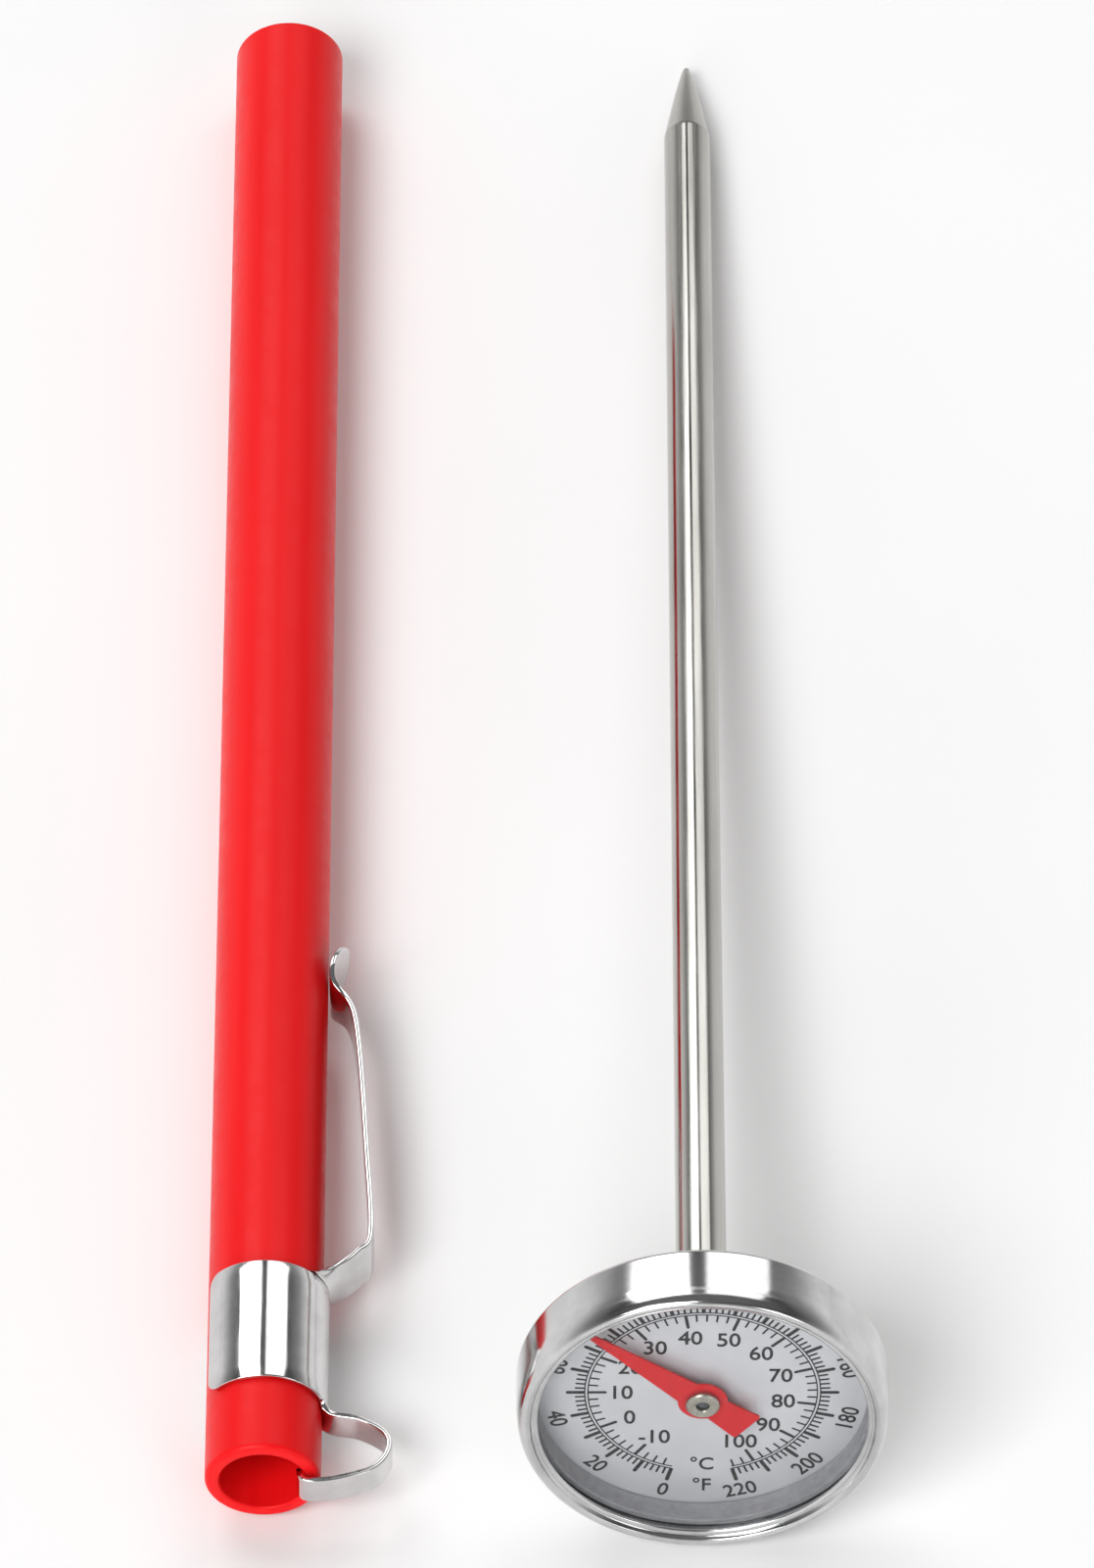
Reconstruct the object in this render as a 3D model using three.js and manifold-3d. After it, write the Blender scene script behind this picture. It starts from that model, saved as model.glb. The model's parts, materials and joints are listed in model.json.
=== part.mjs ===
// A pocket meat thermometer: a dial head on a pointed stem, lying beside its clip-on sheath.
// Millimetres, +Z up. Both pieces lie on the plane z = 0 with their lengths along Y.
// Inside each group z runs along its own axis: from the stem's tip towards whoever reads the
// dial on the thermometer, and from the closed end towards the mouth on the sheath.

import * as THREE from 'three';
import { mergeVertices } from 'three/addons/utils/BufferGeometryUtils.js';
import Module from 'manifold-3d';

const wasm = await Module();
wasm.setup();

// Running clearance between pieces that turn or rest on each other.
const GAP = 0.06;

// Head. z = 0 is the printed face of the dial.
const HEAD_RADIUS = 12.7;
const BEZEL_BACK_Z = -1.75;
const BEZEL_FRONT_Z = 3.1;
const WINDOW_RADIUS = 11.25;
const CASE_RADIUS = 12.0;
const CASE_BORE_RADIUS = 11.5;
const CASE_TOP_Z = 1.35;
const CASE_FLOOR_Z = -1.6;
const SHEET = 0.45;
const SEAT_Z = -3.75;
const SEAT_RADIUS = 5.4;
const FLARE_RADIUS = 10.8;
const FLARE_Z = -2.12;
const DISH_BEND = [7.2, -2.25];
const FLOOR_BEND = [7.3, -1.75];
const CREST_RADIUS = 11.42;
const CREST_Z = -1.88;
const CREST_SIZE = 0.5;
const BEZEL_SKIRT_EDGE = 0.5;
const BEZEL_ROLL_Z = 1.3;
const BEZEL_CROWN_RADIUS = 12.05;
const BEZEL_LIP = [[11.8, 2.98], [11.6, 2.72], [11.5, 2.74], [WINDOW_RADIUS, 2.62]];
const LENS_RADIUS = 11.75;
const LENS_BOTTOM_Z = 1.72;
const LENS_RIM = 0.66;
const LENS_RISE = 0.75;
const LENS_STEPS = 5;
const DIAL_RADIUS = 11.4;
const DIAL_HOLE_RADIUS = 0.9;
const DIAL_THICKNESS = 0.3;
const SPACER_BORE_RADIUS = 10.5;

// Hex nut, with the neck that passes through the case and carries the head.
const NUT_FLATS = 9.2;
const NUT_HEIGHT = 4.2;
const NUT_NOSE = 1.7;
const NUT_NOSE_CUT = 1.15;
const NUT_FACE_Z = SEAT_Z - NUT_HEIGHT;
const NECK_RADIUS = 3.2;
const NECK_TOP_Z = -2.1;
const NECK_GROOVE_RADIUS = 2.88;
const NUT_BORE_RADIUS = 2.05;
const WASHER_RADIUS = 4.9;
const WASHER_THICKNESS = 0.24;
const RING_RADIUS = 4.3;
const RING_THICKNESS = 0.44;
const RING_HALF_OPENING = THREE.MathUtils.degToRad(24);
const BUSHING_SETBACK = 1.2;

// Stem and the movement inside it.
const STEM_RADIUS = 1.75;
const STEM_BORE_RADIUS = 1.5;
const STEM_LENGTH = 127;
const TIP_Z = NUT_FACE_Z - STEM_LENGTH;
const TAPER_LENGTH = 8;
const SHOULDER_Z = TIP_Z + TAPER_LENGTH;
const TAPER_POWER = 0.85;
const TAPER_STEPS = 5;
const TIP_RADIUS = 0.28;
const STEM_TOP_Z = -2.25;
const SHAFT_RADIUS = 0.5;
const SHAFT_END_RADIUS = 0.38;
const SHAFT_STEP_Z = 0.25;
const SHAFT_TOP_Z = 1.15;
const COIL_RADIUS = 1.05;
const COIL_STRIP = [0.24, 0.95];
const COIL_PITCH = 2.1;
const COIL_TURNS = 14;
const COIL_BOTTOM_Z = SHOULDER_Z + 3.1;
const COIL_TOP_Z = COIL_BOTTOM_Z + COIL_PITCH * COIL_TURNS + COIL_STRIP[1];
const COLLAR_Z = COIL_TOP_Z + GAP;
const COLLAR_RADIUS = 1.25;
const COLLAR_LENGTH = 3;
const ANCHOR_Z = SHOULDER_Z + GAP;
const GUIDE_DEPTH = 2.8;
const GUIDE_FLANGE = 0.4;
const GUIDE_MIDDLE_Z = SHOULDER_Z / 2;
const GUIDE_MIDDLE_HALF = 1.5;

// Pointer. It rests at 77 degrees F: 0 F is 165 degrees left of the top and each F is 1.5 degrees.
const POINTER_REST_DEG = -165 + 1.5 * 77;
const POINTER_Z = 0.7;
const POINTER_THICKNESS = 0.2;
const POINTER_LENGTH = 9.95;
const POINTER_TIP_HALF = 0.225;
const POINTER_TIP_BOW = 0.1;
const POINTER_WAIST_HALF = 1.05;
const POINTER_TAIL = 4.05;
const POINTER_TAIL_HALF = 1.365;
const POINTER_DISC_RADIUS = 1.7;
const POINTER_HOLE_RADIUS = 0.82;
const HUB_RADIUS = 1.17;
const HUB_BASE_RADIUS = 1.05;
const HUB_TOP_Z = 1.38;
const HUB_CHAMFER = 0.12;
const HUB_BORE_CHAMFER = 0.08;

// Sheath. z = 0 is its mouth.
const SHEATH_RADIUS = 4.0;
const SHEATH_BORE_RADIUS = 3.0;
const SHEATH_LENGTH = 134;
const SHEATH_END_WALL = 1.5;
const SHEATH_EDGE = 0.4;

// Clip, stamped from one sheet.
const CLIP_SHEET = 0.4;
const BAND_GAP = 0.05;
const BAND_INNER_RADIUS = SHEATH_RADIUS + BAND_GAP;
const BAND_RADIUS = BAND_INNER_RADIUS + CLIP_SHEET;
const BAND_HEIGHT = 10;
const BAND_MOUTH_Z = -5.8;
const BAND_HALF_OPENING = Math.PI / 6;
const BAND_CORNER = 1.1;
const ARM_WIDTH = 4.2;
const ARM_TAPER = 0.35;
const PADDLE_WIDTH = 5.2;
const PADDLE_FLARE = 2;
const ARM_ROOT = [4.27, -15.9];
const ARM_KNEE = [7.2, -20.1];
const ARM_NECK = [5.95, -39.4];
const ARM_CONTACT = [4.28, -42.9];
const ARM_TIP = [5.3, -46.4];
const LOOP_WIDTH = 2.4;
const LOOP_ROOT = [4.27, -5.72];
const LOOP_REACH = 8.9;
const LOOP_FRONT_Z = 0.62;
const LOOP_HOOK = [2.5, -0.9];

// Layout on the table: centre-lines 30 mm apart.
const AXIS_SPACING = 30;
const STEM_TILT = Math.atan2(HEAD_RADIUS - STEM_RADIUS, -SHOULDER_Z);

const ROUND = 40;
const SMALL_ROUND = 24;
const FINE_ROUND = 12;

const steel = { color: 0xb9b7b2, metalness: 1, roughness: 0.22 };
const chrome = { color: 0xdcdcde, metalness: 1, roughness: 0.12 };
const brass = { color: 0xb8954f, metalness: 1, roughness: 0.3 };
const bimetal = { color: 0x9a8f86, metalness: 1, roughness: 0.45 };
const glass = { color: 0xf2f6f8, metalness: 0, roughness: 0.04, transparent: true, opacity: 0.3 };
const dialPaint = { color: 0xc9c9d1, metalness: 0.3, roughness: 0.4 };
const rubber = { color: 0x949496, metalness: 0, roughness: 0.8 };
const redPaint = { color: 0xc8141c, metalness: 0, roughness: 0.4 };
const redPlastic = { color: 0xe81e24, metalness: 0, roughness: 0.35 };

// Welds the corners, drops triangles that closed up on the axis and turns the faces outward.
function welded(geometry) {
  geometry.deleteAttribute('normal');
  geometry.deleteAttribute('uv');
  const merged = mergeVertices(geometry, 1e-5);
  const place = merged.getAttribute('position');
  const index = merged.getIndex().array;
  const a = new THREE.Vector3();
  const b = new THREE.Vector3();
  const c = new THREE.Vector3();
  let kept = [];
  let volume = 0;
  for (let i = 0; i < index.length; i += 3) {
    const [p, q, r] = index.slice(i, i + 3);
    if (p !== q && q !== r && r !== p) {
      kept.push(p, q, r);
      a.fromBufferAttribute(place, p);
      b.fromBufferAttribute(place, q);
      c.fromBufferAttribute(place, r);
      volume += a.dot(b.cross(c)) / 6;
    }
  }
  if (volume < 0) {
    kept = kept.reverse();
  }
  merged.setIndex(kept);
  return merged;
}

function toSolid(geometry) {
  const closed = welded(geometry);
  return new wasm.Manifold(new wasm.Mesh({
    numProp: 3,
    vertProperties: new Float32Array(closed.getAttribute('position').array),
    triVerts: new Uint32Array(closed.getIndex().array),
  }));
}

function toGeometry(solid) {
  const mesh = solid.getMesh();
  const geometry = new THREE.BufferGeometry();
  geometry.setAttribute('position', new THREE.BufferAttribute(mesh.vertProperties, 3));
  geometry.setIndex(new THREE.BufferAttribute(mesh.triVerts, 1));
  return geometry;
}

function part(name, geometry, finish) {
  const closed = welded(geometry);
  closed.computeVertexNormals();
  const mesh = new THREE.Mesh(closed, new THREE.MeshStandardMaterial(finish));
  mesh.name = name;
  return mesh;
}

// Turns a profile of [radius, z] points about z. It starts and ends on the axis, and one of the
// facets faces straight down, so that a piece lies steadily on the table.
function turned(profile, segments = ROUND) {
  const points = profile.map(([radius, z]) => new THREE.Vector2(radius, z));
  const geometry = new THREE.LatheGeometry(points, segments, Math.PI / segments);
  geometry.rotateX(Math.PI / 2);
  return geometry;
}

// Turns a closed outline that stays clear of the axis, such as the section of a ring.
function ring(profile, segments = ROUND) {
  return turned([...profile, profile[0]], segments);
}

function sleeve(inner, outer, low, high, segments = SMALL_ROUND) {
  return ring([[inner, low], [outer, low], [outer, high], [inner, high]], segments);
}

// Points on a quarter or other arc, as [radius, z] pairs.
function arc(radius, z, size, fromDeg, toDeg, steps) {
  return Array.from({ length: steps + 1 }, (_, i) => {
    const angle = THREE.MathUtils.degToRad(fromDeg + (toDeg - fromDeg) * i / steps);
    return [radius + size * Math.cos(angle), z + size * Math.sin(angle)];
  });
}

// Points on a curve bent towards one control point, as [radius, z] pairs.
function bend(from, control, to, steps) {
  const curve = new THREE.QuadraticBezierCurve(
    new THREE.Vector2(...from),
    new THREE.Vector2(...control),
    new THREE.Vector2(...to),
  );
  return curve.getPoints(steps).map((point) => [point.x, point.y]);
}

function extruded(outline, depth, curveSegments = FINE_ROUND) {
  return new THREE.ExtrudeGeometry(outline, { depth, bevelEnabled: false, curveSegments });
}

// Head: the case, the bezel crimped over it, and the dial between the spacer and the gasket.

function caseBack() {
  const outside = bend([SEAT_RADIUS, SEAT_Z], DISH_BEND, [FLARE_RADIUS, FLARE_Z], 6);
  const crest = arc(CREST_RADIUS, CREST_Z, CREST_SIZE, 215, 350, 5);
  const floor = bend([FLARE_RADIUS, CASE_FLOOR_Z], FLOOR_BEND, [SEAT_RADIUS, SEAT_Z + SHEET], 5);
  return ring([
    [NECK_RADIUS + GAP, SEAT_Z],
    ...outside,
    ...crest,
    [CASE_RADIUS, CASE_TOP_Z],
    [CASE_BORE_RADIUS, CASE_TOP_Z],
    [CASE_BORE_RADIUS, CASE_FLOOR_Z],
    ...floor,
    [NECK_RADIUS + GAP, SEAT_Z + SHEET],
  ]);
}

function bezelRing() {
  const skirtRadius = HEAD_RADIUS - BEZEL_SKIRT_EDGE;
  const skirtZ = BEZEL_BACK_Z + BEZEL_SKIRT_EDGE;
  const skirt = arc(skirtRadius, skirtZ, BEZEL_SKIRT_EDGE, -90, 0, 4);
  const roll = bend(
    [HEAD_RADIUS, BEZEL_ROLL_Z],
    [HEAD_RADIUS, BEZEL_FRONT_Z],
    [BEZEL_CROWN_RADIUS, BEZEL_FRONT_Z],
    7,
  );
  return ring([
    [CASE_RADIUS + GAP, BEZEL_BACK_Z],
    ...skirt,
    ...roll,
    ...BEZEL_LIP,
    [WINDOW_RADIUS, LENS_BOTTOM_Z + LENS_RIM + GAP],
    [LENS_RADIUS + GAP, LENS_BOTTOM_Z + LENS_RIM + GAP],
    [LENS_RADIUS + GAP, CASE_TOP_Z + GAP],
    [CASE_RADIUS + GAP, CASE_TOP_Z + GAP],
  ]);
}

function lens() {
  const rimTop = LENS_BOTTOM_Z + LENS_RIM;
  const edge = WINDOW_RADIUS - 0.1;
  const dome = (z) => Array.from({ length: LENS_STEPS + 1 }, (_, i) => {
    const share = i / LENS_STEPS;
    return [edge * share, z + LENS_RISE * (1 - share * share)];
  });
  return turned([
    ...dome(LENS_BOTTOM_Z),
    [LENS_RADIUS, LENS_BOTTOM_Z],
    [LENS_RADIUS, rimTop],
    ...dome(rimTop).reverse(),
  ]);
}

function lensGasket() {
  return ring([
    [WINDOW_RADIUS, GAP],
    [CASE_BORE_RADIUS - GAP, GAP],
    [CASE_BORE_RADIUS - GAP, CASE_TOP_Z + GAP],
    [LENS_RADIUS, CASE_TOP_Z + GAP],
    [LENS_RADIUS, LENS_BOTTOM_Z - GAP],
    [WINDOW_RADIUS, LENS_BOTTOM_Z - GAP],
  ]);
}

// Nut, stem and the ring that keeps the head on the neck.

function hexNut() {
  const corner = NUT_FLATS / 2 / Math.cos(Math.PI / 6);
  const prism = new THREE.CylinderGeometry(corner, corner, NUT_HEIGHT - GAP, 6);
  prism.rotateX(Math.PI / 2);
  prism.rotateZ(Math.PI / 6);
  prism.translate(0, 0, NUT_FACE_Z + (NUT_HEIGHT - GAP) / 2);
  const nose = bend(
    [corner - NUT_NOSE_CUT, NUT_FACE_Z],
    [corner - 0.1, NUT_FACE_Z + 0.15],
    [corner + 0.05, NUT_FACE_Z + NUT_NOSE],
    4,
  );
  const blank = turned(
    [[0, NUT_FACE_Z], ...nose, [corner + 0.05, SEAT_Z], [0, SEAT_Z]],
    2 * SMALL_ROUND,
  );
  const grooveLow = SEAT_Z + SHEET + 2 * GAP + WASHER_THICKNESS;
  const grooveHigh = grooveLow + RING_THICKNESS + 2 * GAP;
  const neck = turned([
    [0, SEAT_Z - 1],
    [NECK_RADIUS, SEAT_Z - 1],
    [NECK_RADIUS, grooveLow],
    [NECK_GROOVE_RADIUS, grooveLow],
    [NECK_GROOVE_RADIUS, grooveHigh],
    [NECK_RADIUS, grooveHigh],
    [NECK_RADIUS, NECK_TOP_Z],
    [0, NECK_TOP_Z],
  ], SMALL_ROUND);
  const bore = turned([
    [0, NUT_FACE_Z - 1],
    [NUT_BORE_RADIUS, NUT_FACE_Z - 1],
    [NUT_BORE_RADIUS, NECK_TOP_Z + 1],
    [0, NECK_TOP_Z + 1],
  ], SMALL_ROUND);
  const body = toSolid(prism).intersect(toSolid(blank)).add(toSolid(neck)).subtract(toSolid(bore));
  return toGeometry(body);
}

function calibrationWasher() {
  const low = SEAT_Z + SHEET + GAP;
  return sleeve(NECK_RADIUS + GAP, WASHER_RADIUS, low, low + WASHER_THICKNESS, ROUND);
}

function retainingRing() {
  const low = SEAT_Z + SHEET + 3 * GAP + WASHER_THICKNESS;
  const open = RING_HALF_OPENING;
  const outline = new THREE.Shape();
  outline.absarc(0, 0, RING_RADIUS, open, 2 * Math.PI - open, false);
  outline.absarc(0, 0, NECK_GROOVE_RADIUS + GAP, 2 * Math.PI - open, open, true);
  outline.closePath();
  const geometry = extruded(outline, RING_THICKNESS, FINE_ROUND);
  geometry.translate(0, 0, low);
  return geometry;
}

function stemTube() {
  const taper = Array.from({ length: TAPER_STEPS + 1 }, (_, i) => {
    const share = i / TAPER_STEPS;
    const radius = TIP_RADIUS + (STEM_RADIUS - TIP_RADIUS) * (1 - share) ** TAPER_POWER;
    return [radius, SHOULDER_Z - (TAPER_LENGTH - TIP_RADIUS) * share];
  });
  const point = arc(0, TIP_Z + TIP_RADIUS, TIP_RADIUS, 0, -90, 3).slice(1, -1);
  return turned([
    [0, SHOULDER_Z],
    [STEM_BORE_RADIUS, SHOULDER_Z],
    [STEM_BORE_RADIUS, STEM_TOP_Z],
    [STEM_RADIUS, STEM_TOP_Z],
    ...taper,
    ...point,
    [0, TIP_Z],
  ], SMALL_ROUND);
}

// Movement: the bimetal coil turns the shaft, and the shaft turns the pointer.

function bimetalCoil() {
  const steps = COIL_TURNS * FINE_ROUND;
  const geometry = new THREE.BoxGeometry(COIL_STRIP[0], COIL_STRIP[1], 1, 1, 1, steps);
  const place = geometry.getAttribute('position');
  for (let i = 0; i < place.count; i += 1) {
    const share = place.getZ(i) + 0.5;
    const angle = 2 * Math.PI * COIL_TURNS * share;
    const radius = COIL_RADIUS + place.getX(i);
    const rise = COIL_BOTTOM_Z + COIL_STRIP[1] / 2 + COIL_PITCH * COIL_TURNS * share;
    place.setXYZ(i, radius * Math.cos(angle), radius * Math.sin(angle), rise + place.getY(i));
  }
  return geometry;
}

function shaftGuideUpper() {
  return ring([
    [SHAFT_RADIUS + GAP, STEM_TOP_Z - GUIDE_DEPTH],
    [STEM_BORE_RADIUS - GAP, STEM_TOP_Z - GUIDE_DEPTH],
    [STEM_BORE_RADIUS - GAP, STEM_TOP_Z + GAP],
    [STEM_RADIUS, STEM_TOP_Z + GAP],
    [STEM_RADIUS, STEM_TOP_Z + GUIDE_FLANGE],
    [SHAFT_RADIUS + GAP, STEM_TOP_Z + GUIDE_FLANGE],
  ], SMALL_ROUND);
}

function pointerShaft() {
  return turned([
    [0, COLLAR_Z - GAP / 2],
    [SHAFT_RADIUS, COLLAR_Z - GAP / 2],
    [SHAFT_RADIUS, SHAFT_STEP_Z],
    [SHAFT_END_RADIUS, SHAFT_STEP_Z],
    [SHAFT_END_RADIUS, SHAFT_TOP_Z],
    [0, SHAFT_TOP_Z],
  ], FINE_ROUND);
}

function pointer() {
  const waist = POINTER_WAIST_HALF;
  const neckY = Math.sqrt(POINTER_DISC_RADIUS ** 2 - waist ** 2);
  const shoulderY = POINTER_LENGTH - POINTER_TIP_BOW;
  const outline = new THREE.Shape();
  outline.moveTo(POINTER_TIP_HALF, shoulderY);
  outline.quadraticCurveTo(0, POINTER_LENGTH + POINTER_TIP_BOW, -POINTER_TIP_HALF, shoulderY);
  outline.lineTo(-waist, neckY);
  const start = Math.atan2(neckY, -waist);
  outline.absarc(0, 0, POINTER_DISC_RADIUS, start, 2 * Math.PI - start, false);
  outline.lineTo(-POINTER_TAIL_HALF, -POINTER_TAIL);
  outline.lineTo(POINTER_TAIL_HALF, -POINTER_TAIL);
  outline.lineTo(waist, -neckY);
  outline.absarc(0, 0, POINTER_DISC_RADIUS, start - Math.PI, Math.PI - start, false);
  outline.closePath();
  const hole = new THREE.Path();
  hole.absarc(0, 0, POINTER_HOLE_RADIUS, 0, 2 * Math.PI, true);
  outline.holes.push(hole);
  const geometry = extruded(outline, POINTER_THICKNESS);
  geometry.rotateZ(-THREE.MathUtils.degToRad(POINTER_REST_DEG));
  geometry.translate(0, 0, POINTER_Z);
  return geometry;
}

function pointerHub() {
  const neck = POINTER_HOLE_RADIUS - GAP;
  const bore = SHAFT_END_RADIUS + GAP;
  const over = POINTER_Z + POINTER_THICKNESS + GAP;
  return ring([
    [bore, SHAFT_STEP_Z + GAP],
    [HUB_BASE_RADIUS, SHAFT_STEP_Z + GAP],
    [HUB_BASE_RADIUS, POINTER_Z - GAP],
    [neck, POINTER_Z - GAP],
    [neck, over],
    [HUB_RADIUS, over],
    [HUB_RADIUS, HUB_TOP_Z - HUB_CHAMFER],
    [HUB_RADIUS - HUB_CHAMFER, HUB_TOP_Z],
    [bore + HUB_BORE_CHAMFER, HUB_TOP_Z],
    [bore, HUB_TOP_Z - HUB_BORE_CHAMFER],
  ], SMALL_ROUND);
}

// Sheath and its clip. In this group x points out to the clip.

function sheathTube() {
  return turned([
    [0, -SHEATH_LENGTH],
    ...arc(SHEATH_RADIUS - SHEATH_EDGE, -SHEATH_LENGTH + SHEATH_EDGE, SHEATH_EDGE, -90, 0, 3),
    ...arc(SHEATH_RADIUS - SHEATH_EDGE, -SHEATH_EDGE, SHEATH_EDGE, 0, 90, 3),
    ...arc(SHEATH_BORE_RADIUS + SHEATH_EDGE / 2, -SHEATH_EDGE / 2, SHEATH_EDGE / 2, 90, 180, 2),
    [SHEATH_BORE_RADIUS, -SHEATH_LENGTH + SHEATH_END_WALL],
    [0, -SHEATH_LENGTH + SHEATH_END_WALL],
  ]);
}

// The gap in the band, wider at its ends so that the sheet's corners come out round.
function bandOpening() {
  const half = BAND_RADIUS * Math.sin(BAND_HALF_OPENING);
  const top = BAND_HEIGHT / 2;
  const wide = half + BAND_CORNER;
  const outline = new THREE.Shape();
  outline.moveTo(-wide, top + 1);
  outline.absarc(-wide, top - BAND_CORNER, BAND_CORNER, Math.PI / 2, 0, true);
  outline.absarc(-wide, BAND_CORNER - top, BAND_CORNER, 0, -Math.PI / 2, true);
  outline.lineTo(-wide, -top - 1);
  outline.lineTo(wide, -top - 1);
  outline.absarc(wide, BAND_CORNER - top, BAND_CORNER, -Math.PI / 2, -Math.PI, true);
  outline.absarc(wide, top - BAND_CORNER, BAND_CORNER, Math.PI, Math.PI / 2, true);
  outline.lineTo(wide, top + 1);
  outline.closePath();
  const geometry = extruded(outline, SHEATH_RADIUS * 2, 5);
  geometry.rotateX(Math.PI / 2);
  geometry.rotateZ(Math.PI / 2);
  geometry.translate(-SHEATH_RADIUS * 2, 0, BAND_MOUTH_Z - BAND_HEIGHT / 2);
  return geometry;
}

function clipBand() {
  const hoop = sleeve(
    BAND_INNER_RADIUS,
    BAND_RADIUS,
    BAND_MOUTH_Z - BAND_HEIGHT,
    BAND_MOUTH_Z,
    ROUND,
  );
  return toGeometry(toSolid(hoop).subtract(toSolid(bandOpening())));
}

// A strip of sheet whose edge follows the given [x, z] points, as wide as asked along y.
function strip(points, width) {
  const line = new THREE.SplineCurve(points.map(([x, z]) => new THREE.Vector2(x, z)));
  const steps = (points.length - 1) * 4;
  const sides = [1, -1].map((side) => Array.from({ length: steps + 1 }, (_, i) => {
    const place = line.getPoint(i / steps);
    const along = line.getTangent(i / steps);
    const offset = new THREE.Vector2(-along.y, along.x).multiplyScalar(side * CLIP_SHEET / 2);
    return place.add(offset);
  }));
  const outline = new THREE.Shape([...sides[0], ...sides[1].reverse()]);
  const geometry = extruded(outline, width);
  geometry.rotateX(Math.PI / 2);
  geometry.translate(0, width / 2, 0);
  return geometry;
}

function clipArm() {
  const side = strip([
    ARM_ROOT,
    [4.7, -16.7],
    [6.3, -18.5],
    ARM_KNEE,
    [6.9, -27],
    ARM_NECK,
    ARM_CONTACT,
    ARM_TIP,
  ], PADDLE_WIDTH + 1);
  const half = ARM_WIDTH / 2;
  const neck = half - ARM_TAPER;
  const flare = half - 0.2;
  const top = ARM_ROOT[1] + 1;
  const neckZ = ARM_NECK[1] + 1;
  const paddleZ = ARM_TIP[1] + PADDLE_WIDTH / 2;
  const outline = new THREE.Shape();
  outline.moveTo(-half, top);
  outline.lineTo(-neck, neckZ);
  outline.quadraticCurveTo(-flare, paddleZ + PADDLE_FLARE, -PADDLE_WIDTH / 2, paddleZ);
  outline.absarc(0, paddleZ, PADDLE_WIDTH / 2, Math.PI, 2 * Math.PI, false);
  outline.quadraticCurveTo(flare, paddleZ + PADDLE_FLARE, neck, neckZ);
  outline.lineTo(half, top);
  outline.closePath();
  const plan = extruded(outline, LOOP_REACH, 8);
  plan.rotateX(Math.PI / 2);
  plan.rotateZ(Math.PI / 2);
  return toGeometry(toSolid(side).intersect(toSolid(plan)));
}

function clipLoop() {
  return strip([
    LOOP_ROOT,
    [4.6, -5.15],
    [6.6, -4.6],
    [LOOP_REACH - 0.6, -3.5],
    [LOOP_REACH - 0.3, -2.1],
    [7.6, -0.5],
    [5.2, 0.4],
    [3.4, LOOP_FRONT_Z],
    [2.6, 0.25],
    LOOP_HOOK,
  ], LOOP_WIDTH);
}

const thermometer = new THREE.Group();
thermometer.add(
  part('case_back', caseBack(), steel),
  part('bezel_ring', bezelRing(), steel),
  part('lens', lens(), glass),
  part('lens_gasket', lensGasket(), rubber),
  part('dial_plate', sleeve(
    DIAL_HOLE_RADIUS,
    DIAL_RADIUS,
    -DIAL_THICKNESS,
    0,
    ROUND,
  ), dialPaint),
  part('dial_spacer', sleeve(
    SPACER_BORE_RADIUS,
    DIAL_RADIUS,
    CASE_FLOOR_Z + GAP,
    -DIAL_THICKNESS - GAP,
    ROUND,
  ), brass),
  part('hex_nut', hexNut(), steel),
  part('calibration_washer', calibrationWasher(), steel),
  part('retaining_ring', retainingRing(), steel),
  part('stem_bushing', sleeve(
    STEM_RADIUS + GAP,
    NUT_BORE_RADIUS - GAP,
    NUT_FACE_Z + BUSHING_SETBACK,
    NECK_TOP_Z - GAP,
  ), brass),
  part('stem_tube', stemTube(), steel),
  part('shaft_guide_upper', shaftGuideUpper(), brass),
  part('shaft_guide_middle', sleeve(
    SHAFT_RADIUS + GAP,
    STEM_BORE_RADIUS - GAP,
    GUIDE_MIDDLE_Z - GUIDE_MIDDLE_HALF,
    GUIDE_MIDDLE_Z + GUIDE_MIDDLE_HALF,
  ), brass),
  part('pointer_shaft', pointerShaft(), steel),
  part('pointer', pointer(), redPaint),
  part('pointer_hub', pointerHub(), steel),
  part('coil_collar', sleeve(
    SHAFT_RADIUS + GAP,
    COLLAR_RADIUS,
    COLLAR_Z,
    COLLAR_Z + COLLAR_LENGTH,
  ), brass),
  part('bimetal_coil', bimetalCoil(), bimetal),
  part('coil_anchor', turned([
    [0, ANCHOR_Z],
    [STEM_BORE_RADIUS - GAP, ANCHOR_Z],
    [STEM_BORE_RADIUS - GAP, COIL_BOTTOM_Z - GAP],
    [0, COIL_BOTTOM_Z - GAP],
  ], SMALL_ROUND), brass),
);
thermometer.rotation.x = Math.PI / 2 - STEM_TILT;

const sheath = new THREE.Group();
sheath.add(
  part('sheath_tube', sheathTube(), redPlastic),
  part('clip_band', clipBand(), chrome),
  part('clip_loop', clipLoop(), chrome),
  part('clip_arm', clipArm(), chrome),
);
sheath.rotation.x = Math.PI / 2;

// Stands a group on the table with the middle of its length at y = 0.
function laid(body, x) {
  const box = new THREE.Box3().setFromObject(body, true);
  body.position.set(x, -(box.min.y + box.max.y) / 2, -box.min.z);
  return body;
}

const group = new THREE.Group();
group.add(laid(thermometer, AXIS_SPACING), laid(sheath, 0));
const whole = new THREE.Box3().setFromObject(group, true);
group.position.set(-(whole.min.x + whole.max.x) / 2, -(whole.min.y + whole.max.y) / 2, 0);

export default group;
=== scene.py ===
import json
import math

import bmesh
import bpy
from mathutils import Matrix, Vector

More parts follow.
